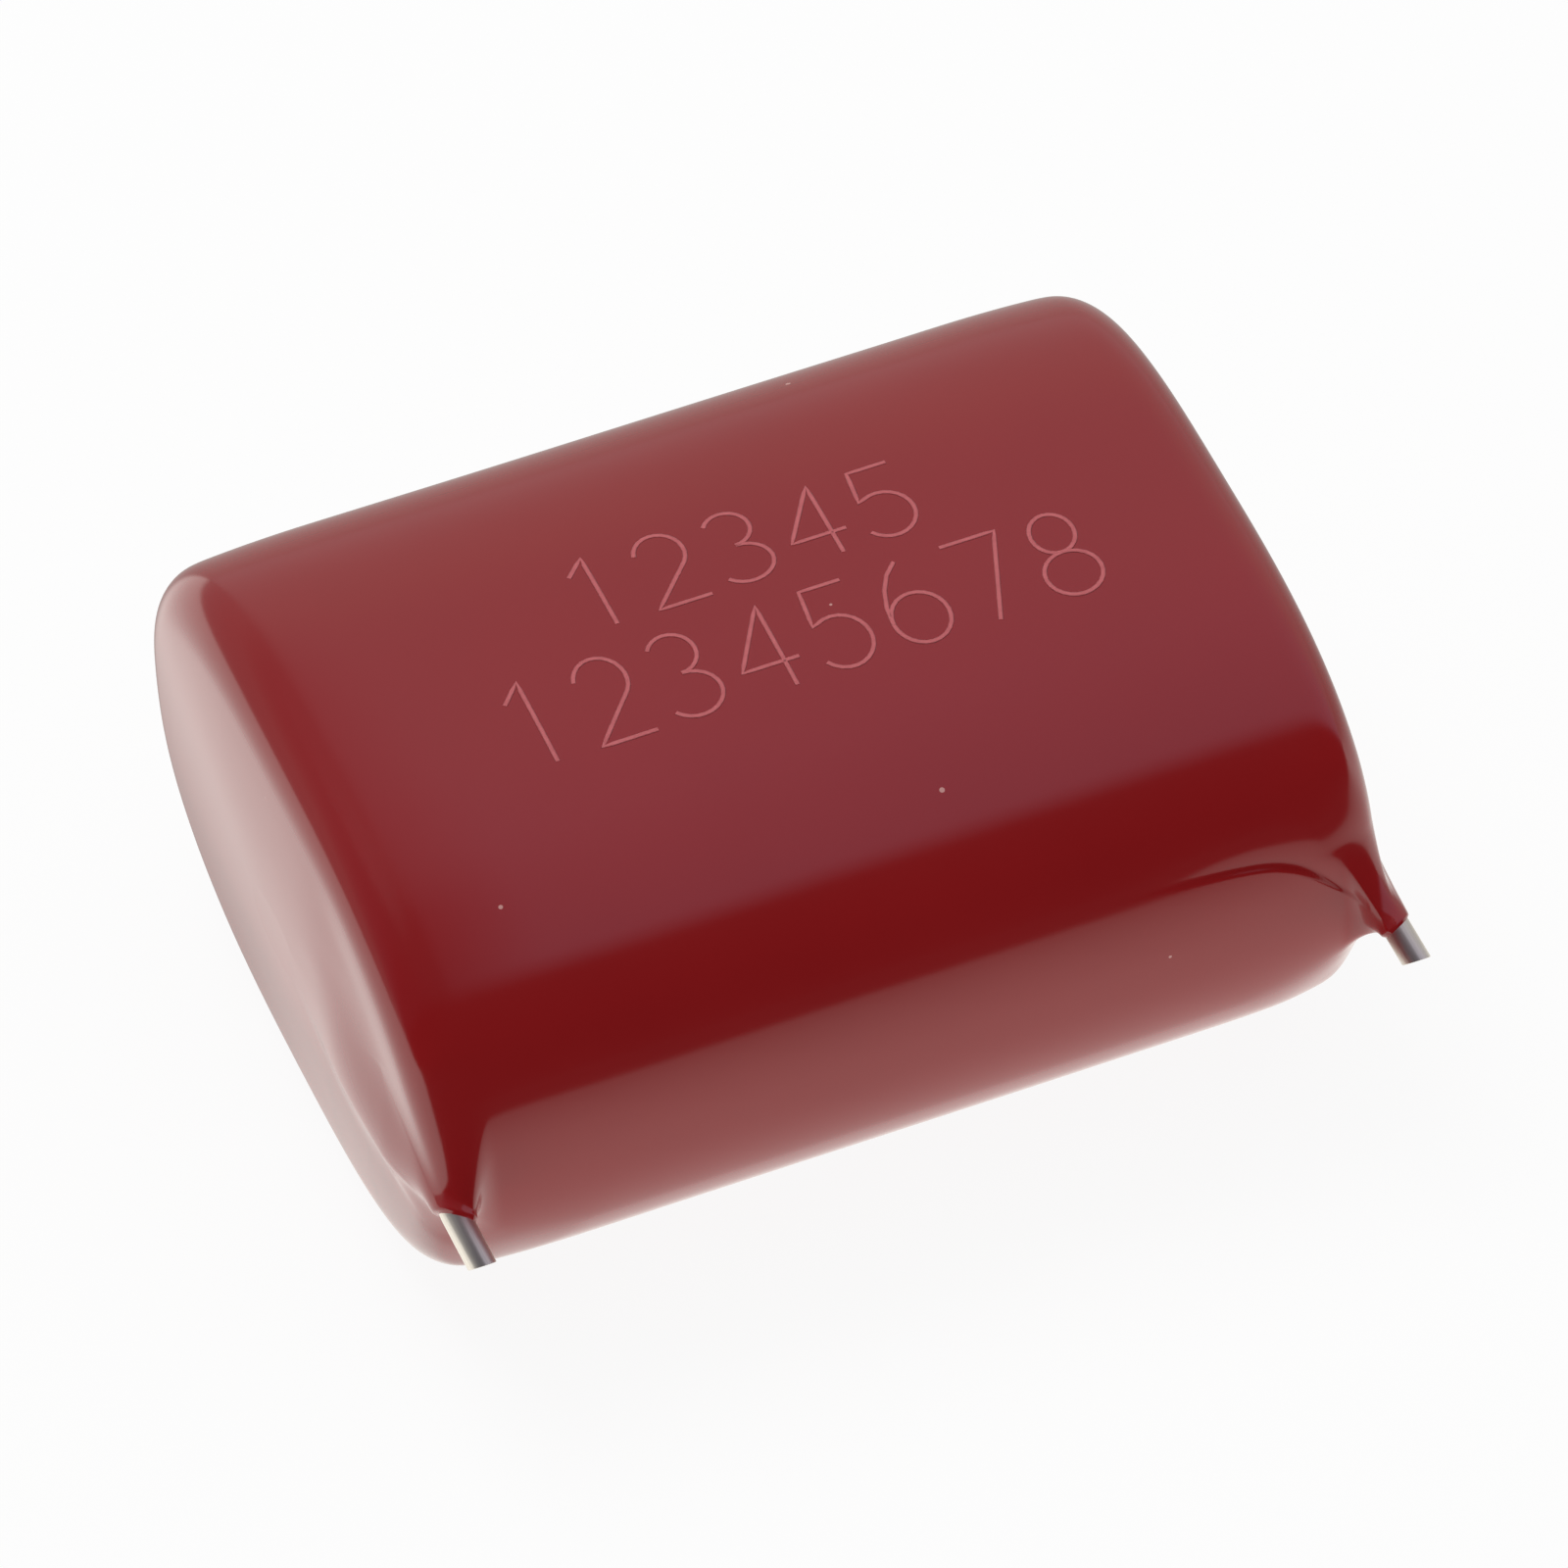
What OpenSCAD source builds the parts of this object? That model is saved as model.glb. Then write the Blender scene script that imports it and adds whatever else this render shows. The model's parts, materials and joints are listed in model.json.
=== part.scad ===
// Dipped film capacitor with two radial leads, lying on a broad face.
// X runs along the winding from lead to lead, the leads point to -Y and +Z is up.
// The origin is the middle of the flat under the body. Sizes are in millimetres.

/* [Body] */
// Width of the coated body, from its front to its back
body_w = 23.3; // [20:0.1:27]
// Thickness of the coated body, between its broad faces
body_t = 14.2; // [11:0.1:17]
// Fullness of the section at the front and back, 2 is an ellipse
side_power = 2.8; // [2.4:0.05:3.4]
// Fullness of the section at the broad faces, 2 is an ellipse
face_power = 2.55; // [2.3:0.05:3.2]
// Radius of the rounded rim round each end face
rim_r = 1.6; // [1:0.1:2]
// How far each end face bulges at its middle
end_rise = 0.32; // [0.1:0.02:0.6]
// Depth of the flat that the body lies on
rest_flat = 0.06; // [0.04:0.01:0.12]

/* [Coat] */
// Coat over the broad faces of the winding, at their middle
coat_face = 0.9; // [0.8:0.05:1.4]
// Coat over the narrow sides of the winding
coat_side = 0.85; // [0.8:0.05:1.4]
// Coat over the sprayed ends, at their rim
coat_end = 0.9; // [0.8:0.05:1.4]
// Coat left round the wire where it leaves the coat
sleeve_t = 0.16; // [0.1:0.02:0.3]
// How far the coat runs down the left lead, past the body's front
run_left = 0.55; // [0.1:0.05:1.5]
// How far the coat runs down the right lead, past the body's front
run_right = 1.2; // [0.1:0.05:1.5]
// How far along the body the coat rises to each lead, past its rim
flare_l = 1; // [0.6:0.1:1.5]
// How far above each lead's axis the coat begins to rise to it
flare_top = 2.5; // [1.8:0.1:3.6]
// How far below each lead's axis the coat begins to rise to it
flare_bottom = 2.2; // [1.5:0.1:3]
// Height of the ridge that each lead's tail raises on its end face
ridge_h = 0.26; // [0.1:0.02:0.4]
// Half the width of that ridge
ridge_w = 1.1; // [0.8:0.05:1.6]
// Length over which that ridge rises to its height
ridge_rise_l = 3; // [1:0.5:5]

/* [Leads] */
// Distance between the two lead axes
lead_pitch = 27.5; // [22.5:0.5:32.5]
// Diameter of the tinned wire
lead_d = 0.8; // [0.6:0.05:1]
// How far the cut ends stand out at their axis, past the body's front
lead_out = 2.4; // [1.8:0.1:6]
// Slant of the cut ends, whose upper side is the longer
snip_angle = 42; // [0:1:50]
// Thickness of each lead's tail, pressed flat for the joint
tail_t = 0.5; // [0.4:0.02:0.6]
// Distance from the middle of the body to the end of each tail
tail_stop = 2.6; // [1:0.1:4]
// Length over which the flat tail swells back to round wire
swell_l = 2.2; // [1.5:0.1:3]

/* [Winding] */
// Width of the core slit that the pressed winding leaves
slit_w = 5.5; // [3:0.5:7]
// Height of the core slit
slit_t = 0.12; // [0.08:0.02:0.3]
// Thickness of the bare film wrapped round the winding
wrap_t = 0.15; // [0.1:0.05:0.4]
// Thickness of the metal sprayed on each end of the winding
spray_t = 0.5; // [0.3:0.05:0.8]
// Height of the solder over each tail
solder_h = 0.66; // [0.62:0.01:0.74]
// Width of each solder joint
solder_w = 3.6; // [2.4:0.1:4]
// Distance from the middle of the body to the middle of each solder joint
solder_y = 6; // [5:0.1:7]

/* [Hidden] */

LEFT = -1;
RIGHT = 1;
$fn = 96;

half_w = body_w / 2;
half_t = body_t / 2;
mid_z = half_t - rest_flat;
lead_r = lead_d / 2;
lead_x = lead_pitch / 2;
spray_x = lead_x - lead_r;
rim_x = spray_x + coat_end;
wind_l = 2 * (spray_x - spray_t);
wind_w = body_w - 2 * (coat_side + wrap_t);
wind_t = body_t - 2 * (coat_face + wrap_t);
tail_w = PI * lead_r ^ 2 / tail_t;
solder_r = (solder_w ^ 2 / 4 + solder_h ^ 2) / (2 * solder_h);

// The mesh of the coat: closed rings along X, each with a point on every column.
// The columns start under the left of the front and go round by the top.
flare_ring_count = 10;
flare_column_count = 12;
end_ring_count = 3;
rest_column_count = 60;
columns = flare_column_count + rest_column_count;
run_ring_count = 2;
rim_ring_count = 6;
cap_rings = [1/6, 1/3, 1/2, 2/3, 5/6, 11/12];
flare_step_count = 8;
tip_step_count = 2;
tip_round = 0.12;
rise_pull = 0.9;
slice_t = 0.01;
cut_over = 1;
bottom_angle = outline_angle(-flare_bottom);
top_angle = outline_angle(flare_top);
rest_angle = (360 - top_angle + bottom_angle) / rest_column_count;
column_angles = concat(
    [for (k = [0:flare_column_count])
        outline_angle((flare_bottom + flare_top) * k / flare_column_count - flare_bottom)],
    [for (k = [1:rest_column_count - 1]) top_angle + k * rest_angle]
);

function power(v, e) = sign(v) * abs(v) ^ e;
function unit(v) = v / norm(v);
function smooth(t) = let (u = min(max(t, 0), 1)) u * u * (3 - 2 * u);
// The angle on the section's outline of a height over its middle
function outline_angle(z) = sign(z) * asin((abs(z) / half_t) ^ (face_power / 2));
function reversed(list) = [for (k = [len(list) - 1:-1:0]) list[k]];

// One ring is [x, half-width, half-thickness]. These are the rings of the left half,
// from the end face over the rim to the straight part.
left_rings = concat(
    [for (s = cap_rings)
        [-rim_x - end_rise * (1 - s ^ 2), (half_w - rim_r) * s, (half_t - rim_r) * s]],
    [for (k = [0:rim_ring_count])
        let (a = 90 * (1 - k / rim_ring_count), inset = rim_r * (1 - cos(a)))
        [-rim_x + rim_r * (1 - sin(a)), half_w - inset, half_t - inset]],
    [for (k = [1:run_ring_count])
        [-rim_x + rim_r + k * flare_l / run_ring_count, half_w, half_t]]
);
straight_x = -left_rings[len(left_rings) - 1][0];
rings = concat(
    left_rings,
    [for (k = [-1:1]) [k * straight_x / 2, half_w, half_t]],
    [for (r = reversed(left_rings)) [-r[0], r[1], r[2]]]
);
last_ring = len(rings) - 1;

// The ridge over a lead's tail, a rise of the end face along X
function ridge(y, z) =
    abs(z) < ridge_w && y < -tail_stop
        ? ridge_h * (1 + cos(180 * z / ridge_w)) / 2 * smooth((-y - tail_stop) / ridge_rise_l)
        : 0;

// A point of the coat before it rises to the leads, from its ring and its column
function shell_point(i, j) =
    let (
        ring = rings[i],
        a = column_angles[(j + columns) % columns],
        y = -ring[1] * power(cos(a), 2 / side_power),
        z = max(ring[2] * power(sin(a), 2 / face_power), rest_flat - half_t),
        on_end = i < len(cap_rings) || i > last_ring - len(cap_rings)
    )
    [ring[0] + (on_end ? sign(ring[0]) * ridge(y, z) : 0), y, mid_z + z];

// The direction square to the shell at one of its points, from the points round it
function shell_normal(i, j) = unit(cross(
    shell_point(i, j + 1) - shell_point(i, j - 1),
    shell_point(i + 1, j) - shell_point(i - 1, j)
));

// The loop of the mesh inside which the coat rises to one lead, from its lowest corner
// on the left. Each point is its ring, its column and the angle round the lead that it
// runs to, from +X to +Z. Each side of the loop runs to a quarter of the lead.
function flare_loop(first) = concat(
    [for (k = [0:flare_ring_count - 1]) [first + k, 0, 90 * k / flare_ring_count - 135]],
    [for (k = [0:flare_column_count - 1])
        [first + flare_ring_count, k, 90 * k / flare_column_count - 45]],
    [for (k = [0:flare_ring_count - 1])
        [first + flare_ring_count - k, flare_column_count, 90 * k / flare_ring_count + 45]],
    [for (k = [0:flare_column_count - 1])
        [first, flare_column_count - k, 90 * k / flare_column_count + 135]]
);
loop_points = 2 * (flare_ring_count + flare_column_count);

// A curve from the coat to the end of the sleeve round the lead, with t from 0 to 1.
// It leaves along the coat, in the direction along, and arrives along the wire.
function flare_point(at, along, to, t) =
    (2 * t ^ 3 - 3 * t ^ 2 + 1) * at
    + (t ^ 3 - 2 * t ^ 2 + t) * norm(to - at) * along
    + (3 * t ^ 2 - 2 * t ^ 3) * to
    + (t ^ 3 - t ^ 2) * rise_pull * max(at[1] - to[1], 0) * [0, -1, 0];

// A point of the sleeve at an angle round the lead, which lies nearer to the wire than
// the sleeve's wall and further back than its tip
function sleeve_point(side, run, a, nearer, back) =
    let (r = lead_r + sleeve_t - nearer)
    [side * lead_x + r * cos(a), -half_w - run + back, mid_z + r * sin(a)];

// The part of a direction that lies along the shell
function along_shell(v, normal) = unit(v - (v * normal) * normal);

function flare_ring(side, first, run, k) =
    let (axis_point = [side * lead_x, -half_w - run, mid_z])
    [for (corner = flare_loop(first))
        let (
            at = shell_point(corner[0], corner[1]),
            along = along_shell(axis_point - at, shell_normal(corner[0], corner[1])),
            to = sleeve_point(side, run, corner[2], 0, tip_round)
        )
        flare_point(at, along, to, k / flare_step_count)];

// The sleeve's rounded tip, which closes on the wire's axis
function tip_ring(side, first, run, k) =
    let (turn = 90 * k / tip_step_count)
    [for (corner = flare_loop(first))
        sleeve_point(
            side, run, corner[2], tip_round * (1 - cos(turn)), tip_round * (1 - sin(turn))
        )];

function flare_points(side, first, run) = concat(
    [for (k = [1:flare_step_count]) each flare_ring(side, first, run, k)],
    [for (k = [1:tip_step_count]) each tip_ring(side, first, run, k)],
    [[side * lead_x, -half_w - run, mid_z]]
);

// Two triangles between neighbours a, b on one ring and c, d on the next
function cell(a, b, c, d) = [[a, d, b], [a, c, d]];

function grid_index(i, j) = i * columns + (j + columns) % columns;

function loop_index(first, m) = let (at = flare_loop(first)[m]) grid_index(at[0], at[1]);

function in_flare(i, j, first) = i >= first && i < first + flare_ring_count && j < flare_column_count;

function flare_faces(first, start) = concat(
    [for (k = [0:flare_step_count + tip_step_count - 1], m = [0:loop_points - 1])
        let (
            n = (m + 1) % loop_points,
            ring_start = start + k * loop_points,
            a = k == 0 ? loop_index(first, m) : ring_start - loop_points + m,
            b = k == 0 ? loop_index(first, n) : ring_start - loop_points + n
        )
        each cell(a, b, ring_start + m, ring_start + n)],
    [for (m = [0:loop_points - 1])
        let (last = start + (flare_step_count + tip_step_count - 1) * loop_points)
        [last + m, last + loop_points, last + (m + 1) % loop_points]]
);

module coat_outside() {
    left_first = len(cap_rings) - end_ring_count;
    right_first = last_ring - left_first - flare_ring_count;
    poles = len(rings) * columns;
    left_start = poles + 2;
    flare_size = (flare_step_count + tip_step_count) * loop_points + 1;
    points = concat(
        [for (i = [0:last_ring], j = [0:columns - 1]) shell_point(i, j)],
        [[-rim_x - end_rise, 0, mid_z], [rim_x + end_rise, 0, mid_z]],
        flare_points(LEFT, left_first, run_left),
        flare_points(RIGHT, right_first, run_right)
    );
    faces = concat(
        [for (i = [0:last_ring - 1], j = [0:columns - 1])
            if (!in_flare(i, j, left_first) && !in_flare(i, j, right_first))
                each cell(
                    grid_index(i, j), grid_index(i + 1, j),
                    grid_index(i, j + 1), grid_index(i + 1, j + 1)
                )],
        [for (j = [0:columns - 1]) [poles, grid_index(0, j + 1), grid_index(0, j)]],
        [for (j = [0:columns - 1])
            [poles + 1, grid_index(last_ring, j), grid_index(last_ring, j + 1)]],
        flare_faces(left_first, left_start),
        flare_faces(right_first, left_start + flare_size)
    );
    polyhedron(points, faces);
}

// A flat oval with round ends, w wide and t high
module oval(w, t) {
    square([w - t, t], center = true);
    for (side = [LEFT, RIGHT])
        translate([side * (w - t) / 2, 0])
            circle(d = t);
}

// An oval bar along X, centred on the body, w wide along Y
module bar(l, w, t) {
    translate([0, 0, mid_z])
        rotate([90, 0, 90])
            linear_extrude(l, center = true)
                oval(w, t);
}

// A length of a lead's pressed tail, starting start_y in front of the body's middle
module tail(side, start_y, length) {
    translate([side * (spray_x + tail_t / 2), -start_y, mid_z])
        rotate([90, 0, 0])
            linear_extrude(length)
                rotate(90)
                    oval(tail_w, tail_t);
}

// A lead, its pressed tail lying on the sprayed end and its round end snipped off aslant
module lead(side, run) {
    round_y = half_w + run - tip_round;
    flat_y = round_y - swell_l;
    snip_y = half_w + lead_out;
    cutter = 6 * lead_d;
    tail(side, tail_stop, flat_y - tail_stop);
    hull() {
        tail(side, flat_y, slice_t, $fn = 32);
        translate([side * lead_x, -round_y, mid_z])
            rotate([-90, 0, 0])
                cylinder(h = slice_t, r = lead_r, $fn = 32);
    }
    difference() {
        translate([side * lead_x, -round_y, mid_z])
            rotate([90, 0, 0])
                cylinder(h = snip_y - round_y + cutter / 2, r = lead_r);
        translate([side * lead_x, -snip_y, mid_z])
            rotate([snip_angle, 0, 0])
                translate([-cutter / 2, -cutter, -cutter / 2])
                    cube(cutter);
    }
}

// The cap of solder over a tail, without the tail cut out of it
module solder_cap(side) {
    translate([side * spray_x, -solder_y, mid_z])
        rotate([0, side * 90, 0])
            intersection() {
                translate([0, 0, solder_h - solder_r])
                    sphere(solder_r);
                cylinder(h = solder_h + cut_over, d = solder_w + cut_over);
            }
}

module epoxy_coat() {
    color("#7a1c20")
        difference() {
            coat_outside();
            bar(2 * spray_x, wind_w + 2 * wrap_t, wind_t + 2 * wrap_t);
            lead(LEFT, run_left);
            lead(RIGHT, run_right);
            solder_cap(LEFT);
            solder_cap(RIGHT);
        }
}

module film_winding() {
    color("#b9bcc2")
        difference() {
            bar(wind_l, wind_w, wind_t);
            bar(wind_l + cut_over, slit_w, slit_t);
        }
}

module outer_wrap() {
    color("#e6e2d2")
        difference() {
            bar(wind_l, wind_w + 2 * wrap_t, wind_t + 2 * wrap_t);
            bar(wind_l + cut_over, wind_w, wind_t);
        }
}

module end_spray(side) {
    color("#8d8f92")
        translate([side * (wind_l + spray_t) / 2, 0, 0])
            bar(spray_t, wind_w + 2 * wrap_t, wind_t + 2 * wrap_t);
}

module solder(side) {
    color("#c9cbcc")
        difference() {
            solder_cap(side);
            tail(side, tail_stop, 2 * (solder_y - tail_stop));
        }
}

epoxy_coat();
film_winding();
outer_wrap();
end_spray(LEFT);  // end_spray_left
end_spray(RIGHT);  // end_spray_right
color("#d5d3cd") lead(LEFT, run_left);  // lead_left
color("#d5d3cd") lead(RIGHT, run_right);  // lead_right
solder(LEFT);  // solder_left
solder(RIGHT);  // solder_right
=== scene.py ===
import json
import math

import bmesh
import bpy
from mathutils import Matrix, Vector


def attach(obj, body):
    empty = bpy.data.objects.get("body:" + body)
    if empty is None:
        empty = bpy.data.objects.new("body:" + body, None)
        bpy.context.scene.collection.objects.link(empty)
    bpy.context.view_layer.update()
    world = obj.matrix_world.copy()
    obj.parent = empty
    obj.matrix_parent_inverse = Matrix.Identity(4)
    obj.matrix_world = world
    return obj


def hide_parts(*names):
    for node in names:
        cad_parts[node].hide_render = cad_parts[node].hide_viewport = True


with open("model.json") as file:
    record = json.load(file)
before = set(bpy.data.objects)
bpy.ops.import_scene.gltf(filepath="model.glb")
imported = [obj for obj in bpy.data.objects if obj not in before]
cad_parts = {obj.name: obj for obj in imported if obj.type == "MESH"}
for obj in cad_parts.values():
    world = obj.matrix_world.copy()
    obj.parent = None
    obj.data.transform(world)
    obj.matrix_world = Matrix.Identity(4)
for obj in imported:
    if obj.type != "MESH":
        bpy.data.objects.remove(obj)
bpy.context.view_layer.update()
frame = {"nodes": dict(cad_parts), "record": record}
mm = 0.001

# ---------------------------------------------------------------------------
# The camera. A long lens looks down on the capacitor from its front left,
# with the frame turned a little, as a catalogue picture is taken.
# ---------------------------------------------------------------------------
mounts = {mount["name"]: mount for mount in frame["record"]["mounts"]}
mid_z = mounts["lead_right"]["pos_m"][2]
body_centre = Vector((0, 0, mid_z))
azimuth, elevation, roll = (math.radians(a) for a in (-19.18, 46.04, 3.71))
away, rightwards, downwards = 423 * mm, 0.62 * mm, 0.29 * mm
view_back = Vector((
    math.sin(azimuth) * math.cos(elevation),
    -math.cos(azimuth) * math.cos(elevation),
    math.sin(elevation),
))
level_right = Vector((math.cos(azimuth), math.sin(azimuth), 0))
level_up = view_back.cross(level_right)
view_right = math.cos(roll) * level_right - math.sin(roll) * level_up
view_up = math.sin(roll) * level_right + math.cos(roll) * level_up

lens = bpy.data.cameras.new("catalogue_lens")
lens.sensor_width = 36
lens.lens = 349.04
camera = bpy.data.objects.new("catalogue_camera", lens)
bpy.context.scene.collection.objects.link(camera)
for column, axis in enumerate((view_right, view_up, view_back)):
    for row in range(3):
        camera.matrix_world[row][column] = axis[row]
camera.matrix_world.translation = (
    body_centre + away * view_back + rightwards * view_right - downwards * view_up
)
bpy.context.scene.camera = camera
bpy.context.scene.view_settings.view_transform = "Standard"


# ---------------------------------------------------------------------------
# The studio. A sheet of white paper carries the capacitor, a broad diffuser
# hangs over and behind it, and the side of the camera is left dark.
# ---------------------------------------------------------------------------
def linear(code):
    """The linear colour, with full alpha, of a written sRGB colour such as 8A1718."""
    parts = [int(code[k : k + 2], 16) / 255 for k in (0, 2, 4)]
    return (*(p / 12.92 if p <= 0.04045 else ((p + 0.055) / 1.055) ** 2.4 for p in parts), 1)


def add_node(tree, kind, values=None, links=None, **settings):
    """Adds a node with its settings, the values of its sockets and what is linked to them."""
    node = tree.nodes.new(kind)
    for name, value in settings.items():
        setattr(node, name, value)
    for socket, value in (values or {}).items():
        node.inputs[socket].default_value = value
    for socket, source in (links or {}).items():
        tree.links.new(source, node.inputs[socket])
    return node


def new_material(name):
    """A material with an empty node tree."""
    material = bpy.data.materials.new(name)
    material.use_nodes = True
    material.node_tree.nodes.clear()
    return material


def soft_lamp(name, at, size, radiance):
    """A square lamp that faces the body. It lights, but the gloss doesn't show it."""
    light = bpy.data.lights.new(name, "AREA")
    light.size = size
    light.energy = radiance * math.pi * size**2
    lamp = bpy.data.objects.new(name, light)
    bpy.context.scene.collection.objects.link(lamp)
    lamp.location = at
    lamp.rotation_euler = Vector(at).to_track_quat("Z", "Y").to_euler()
    lamp.visible_camera = lamp.visible_glossy = False


soft_lamp("overhead_lamp", (0.06, 0.08, 0.30), 0.60, 0.50)
soft_lamp("key_lamp", (-0.10, 0.24, 0.53), 0.30, 5.3)

# What the gloss shows overhead is one long diffuser. It is dimmer to the left, most so at the
# front, ends a little before it reaches the camera, and is warmer towards the back.
bpy.ops.object.select_all(action="DESELECT")
bpy.ops.mesh.primitive_plane_add(size=80, location=(0, 0, 0.30))
diffuser = bpy.context.object
diffuser.name = "overhead_diffuser"
diffuser.visible_camera = diffuser.visible_diffuse = diffuser.visible_shadow = False
glow = new_material("lit_diffuser")
tree = glow.node_tree
place = add_node(tree, "ShaderNodeTexCoord")
spot = add_node(tree, "ShaderNodeSeparateXYZ", links={0: place.outputs["Object"]})
left_level = add_node(
    tree, "ShaderNodeMapRange", {"From Min": 0, "From Max": 0.55, "To Min": 0.1, "To Max": 0.7},
    {"Value": spot.outputs["Y"]},
)
fade = add_node(
    tree, "ShaderNodeMapRange", {"From Min": 0.005, "From Max": 0.058, "To Max": 1},
    {"Value": spot.outputs["X"], "To Min": left_level.outputs[0]},
)
along = add_node(
    tree, "ShaderNodeMapRange", {"From Min": -0.2, "From Max": 0.8}, {"Value": spot.outputs["Y"]},
)
strip = add_node(tree, "ShaderNodeValToRGB", links={0: along.outputs[0]})
stops = (
    (0.02, (0, 0, 0)), (0.08, (0.56, 0.54, 0.70)), (0.30, (0.64, 0.62, 0.76)),
    (0.47, (0.64, 0.62, 0.68)), (0.66, (0.66, 0.64, 0.64)), (1.0, (0.60, 0.60, 0.60)),
)
while len(strip.color_ramp.elements) < len(stops):
    strip.color_ramp.elements.new(1)
for element, (position, colour) in zip(strip.color_ramp.elements, stops):
    element.position, element.color = position, (*colour, 1)
shine = add_node(
    tree, "ShaderNodeEmission",
    links={"Color": strip.outputs["Color"], "Strength": fade.outputs[0]},
)
add_node(tree, "ShaderNodeOutputMaterial", links={"Surface": shine.outputs[0]})
diffuser.data.materials.append(glow)

# The room is white to the camera, grey to dull surfaces and a darker grey to the gloss.
world = bpy.data.worlds.new("studio_room")
bpy.context.scene.world = world
world.use_nodes = True
tree = world.node_tree
tree.nodes.clear()
path = add_node(tree, "ShaderNodeLightPath")
room = add_node(
    tree, "ShaderNodeMix", {"A": linear("949494"), "B": linear("666666")},
    {"Factor": path.outputs["Is Glossy Ray"]}, data_type="RGBA",
)
shown = add_node(
    tree, "ShaderNodeMix", {"B": (1, 1, 1, 1)},
    {"Factor": path.outputs["Is Camera Ray"], "A": room.outputs["Result"]}, data_type="RGBA",
)
background = add_node(tree, "ShaderNodeBackground", links={"Color": shown.outputs["Result"]})
add_node(tree, "ShaderNodeOutputWorld", links={"Surface": background.outputs[0]})

bpy.ops.object.select_all(action="DESELECT")
bpy.ops.mesh.primitive_plane_add(size=40, location=(0, 0, -0.01 * mm))
paper = bpy.context.object
paper.name = "paper_sweep"
matt_paper = new_material("matt_white_paper")
tree = matt_paper.node_tree
path = add_node(tree, "ShaderNodeLightPath")
place = add_node(tree, "ShaderNodeTexCoord")
spot = add_node(tree, "ShaderNodeSeparateXYZ", links={0: place.outputs["Object"]})
lit = add_node(tree, "ShaderNodeBsdfDiffuse", {"Color": linear("EEEEEE")})
white = add_node(tree, "ShaderNodeEmission", {"Color": (1, 1, 1, 1), "Strength": 1})
seen = add_node(tree, "ShaderNodeMixShader", {0: 0.92}, {1: lit.outputs[0], 2: white.outputs[0]})
# To the gloss, the paper ends some way in front of the body and is brightest close to it
# and beside its left end. To dull surfaces, it is evenly bright.
ends = add_node(
    tree, "ShaderNodeMapRange", {"From Min": -60 * mm, "From Max": -54 * mm},
    {"Value": spot.outputs["Y"]}, interpolation_type="SMOOTHSTEP",
)
to_front = add_node(
    tree, "ShaderNodeMapRange",
    {"From Min": -45 * mm, "From Max": -14 * mm, "To Min": 0.62, "To Max": 1.15},
    {"Value": spot.outputs["Y"]},
)
to_back = add_node(
    tree, "ShaderNodeMapRange",
    {"From Min": -8 * mm, "From Max": 8 * mm, "To Min": 1, "To Max": 0.45},
    {"Value": spot.outputs["Y"]}, interpolation_type="SMOOTHSTEP",
)
right_of_end = add_node(
    tree, "ShaderNodeMapRange",
    {"From Min": -17.2 * mm, "From Max": -13.2 * mm, "To Min": 0, "To Max": 1},
    {"Value": spot.outputs["X"]}, interpolation_type="SMOOTHSTEP",
)
length_wise = add_node(
    tree, "ShaderNodeMath", links={0: to_front.outputs[0], 1: to_back.outputs[0]},
    operation="MULTIPLY",
)
by_end = add_node(
    tree, "ShaderNodeMix", {"A": 1.45},
    {"Factor": right_of_end.outputs[0], "B": length_wise.outputs[0]}, data_type="FLOAT",
)
strength = add_node(
    tree, "ShaderNodeMath", links={0: ends.outputs[0], 1: by_end.outputs[0]}, operation="MULTIPLY",
)
mirrored = add_node(
    tree, "ShaderNodeEmission", {"Color": linear("FFFDF8")}, {"Strength": strength.outputs[0]},
)
bounce = add_node(tree, "ShaderNodeEmission", {"Strength": 1.35})
not_camera = add_node(
    tree, "ShaderNodeMixShader",
    links={0: path.outputs["Is Glossy Ray"], 1: bounce.outputs[0], 2: mirrored.outputs[0]},
)
out = add_node(
    tree, "ShaderNodeMixShader",
    links={0: path.outputs["Is Camera Ray"], 1: not_camera.outputs[0], 2: seen.outputs[0]},
)
add_node(tree, "ShaderNodeOutputMaterial", links={"Surface": out.outputs[0]})
paper.data.materials.append(matt_paper)


# ---------------------------------------------------------------------------
# The coat. The wound element is dipped in red epoxy, which drains towards the
# leads, creeps a little way down both wires and cures to a hard, glossy skin.
# ---------------------------------------------------------------------------
half_w, half_t = 11.65 * mm, 7.1 * mm
side_power, face_power = 2.8, 2.55
# The rim's radius and place, and how far the middle of an end face stands out past it.
rim_r, rim_x, end_rise = 1.6 * mm, 14.25 * mm, 0.32 * mm
lead_x, lead_r = mounts["lead_right"]["pos_m"][0], mounts["lead_right"]["dims"]["r_mm"] * mm
# How far the coat has run down each lead, and the ridges over the leads' tails.
run_left, run_right = 0.45 * mm, 1.05 * mm
ridge_h, ridge_w, tail_stop = 0.26 * mm, 1.1 * mm, 2.6 * mm


def power(value, exponent):
    """The power of a value's size, with the value's sign."""
    return math.copysign(abs(value) ** exponent, value)


def smooth(t):
    """Rises smoothly from 0 to 1 as t does, and stays level before and after."""
    t = min(max(t, 0), 1)
    return t * t * (3 - 2 * t)


def outline_angle(z):
    """The angle on the section's outline at a height over its middle."""
    return math.copysign(math.asin((abs(z) / half_t) ** (face_power / 2)), z)


# The outline of the section, as angles: close together at the front, where the leads leave,
# and closest where the film's edge shows.
front_heights = [(-2.8 + 0.3 * k) * mm for k in range(14)]
front_heights += [(1.4 + 0.15 * k) * mm for k in range(13)]
front_heights += [(3.5 + 0.3 * k) * mm for k in range(4)]
outline = [outline_angle(z) for z in front_heights]
other_steps = 42
step = (2 * math.pi + outline[0] - outline[-1]) / other_steps
outline += [outline[-1] + k * step for k in range(1, other_steps)]

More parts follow.
